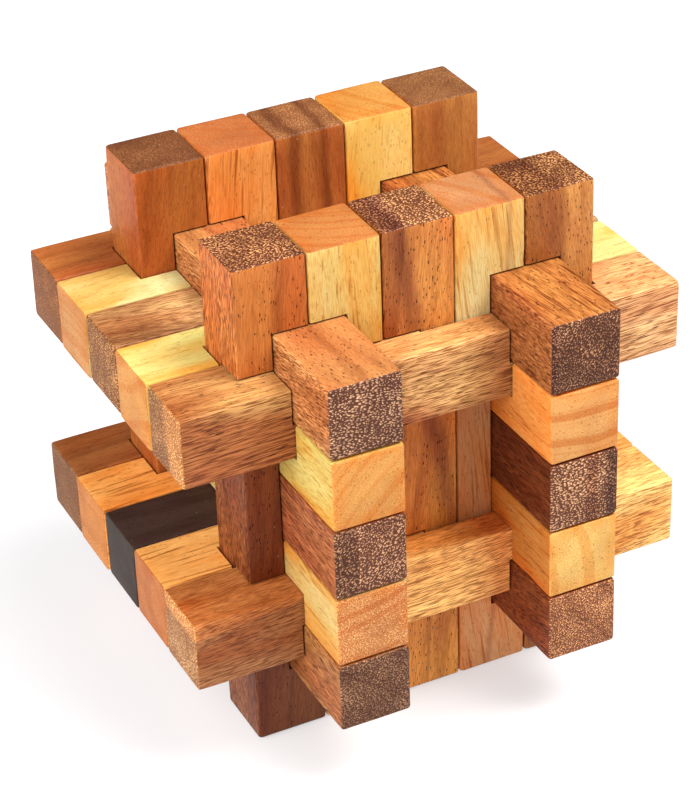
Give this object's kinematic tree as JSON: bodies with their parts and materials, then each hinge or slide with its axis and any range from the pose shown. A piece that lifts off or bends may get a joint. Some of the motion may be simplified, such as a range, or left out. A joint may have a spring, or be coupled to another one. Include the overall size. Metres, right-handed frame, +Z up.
{
  "type": "wooden burr puzzle",
  "caption": "Interlocking cube of square hardwood rods in crossed layers, with straight keys that slide out to unlock the notched rods.",
  "frame": {"origin": "middle of the bottom of the puzzle, on the plane of the upright ends that it stands on", "axes": "+X left to right along the crossbars, +Y front to back along the keys and bars, +Z up along the uprights"},
  "size_m": [0.105, 0.105, 0.105],
  "materials": {
    "light_tan_wood": "satin oiled",
    "streaked_tan_wood": "satin oiled",
    "yellow_wood": "satin oiled",
    "red_brown_wood": "satin oiled",
    "two_tone_wood": "satin oiled",
    "mid_brown_wood": "satin oiled",
    "orange_brown_wood": "satin oiled",
    "dark_brown_wood": "satin oiled",
    "black_brown_wood": "satin oiled"
  },
  "bodies": {
    "locked_rods": {"back_upright_1": "red_brown_wood", "back_upright_2": "streaked_tan_wood", "back_upright_3": "red_brown_wood", "back_upright_4": "yellow_wood", "back_upright_5": "mid_brown_wood", "front_upright_1": "red_brown_wood", "front_upright_2": "light_tan_wood", "front_upright_3": "two_tone_wood", "front_upright_4": "light_tan_wood", "front_upright_5": "red_brown_wood", "left_lower_bar": "light_tan_wood", "left_upper_bar": "yellow_wood", "lower_crossbar_1": "mid_brown_wood", "lower_crossbar_2": "streaked_tan_wood", "lower_crossbar_3": "black_brown_wood", "lower_crossbar_4": "streaked_tan_wood", "lower_crossbar_5": "mid_brown_wood", "right_lower_bar": "light_tan_wood", "right_upper_bar": "light_tan_wood", "upper_crossbar_1": "mid_brown_wood", "upper_crossbar_2": "yellow_wood", "upper_crossbar_3": "dark_brown_wood", "upper_crossbar_4": "light_tan_wood", "upper_crossbar_5": "orange_brown_wood"},
    "left_bottom_key": {"left_bottom_key": "dark_brown_wood"},
    "left_middle_key": {"left_middle_key": "red_brown_wood"},
    "left_top_key": {"left_top_key": "orange_brown_wood"},
    "right_bottom_key": {"right_bottom_key": "dark_brown_wood"},
    "right_middle_key": {"right_middle_key": "dark_brown_wood"},
    "right_top_key": {"right_top_key": "orange_brown_wood"}
  },
  "joints": [
    {"name": "left_bottom_key_slide", "type": "slide", "parent": "locked_rods", "child": "left_bottom_key", "axis": [0, 1, 0], "range_m": [-0.09, 0.09]},
    {"name": "left_middle_key_slide", "type": "slide", "parent": "locked_rods", "child": "left_middle_key", "axis": [0, 1, 0], "range_m": [-0.09, 0.09]},
    {"name": "left_top_key_slide", "type": "slide", "parent": "locked_rods", "child": "left_top_key", "axis": [0, 1, 0], "range_m": [-0.09, 0.09]},
    {"name": "right_bottom_key_slide", "type": "slide", "parent": "locked_rods", "child": "right_bottom_key", "axis": [0, 1, 0], "range_m": [-0.09, 0.09]},
    {"name": "right_middle_key_slide", "type": "slide", "parent": "locked_rods", "child": "right_middle_key", "axis": [0, 1, 0], "range_m": [-0.09, 0.09]},
    {"name": "right_top_key_slide", "type": "slide", "parent": "locked_rods", "child": "right_top_key", "axis": [0, 1, 0], "range_m": [-0.09, 0.09]}
  ]
}
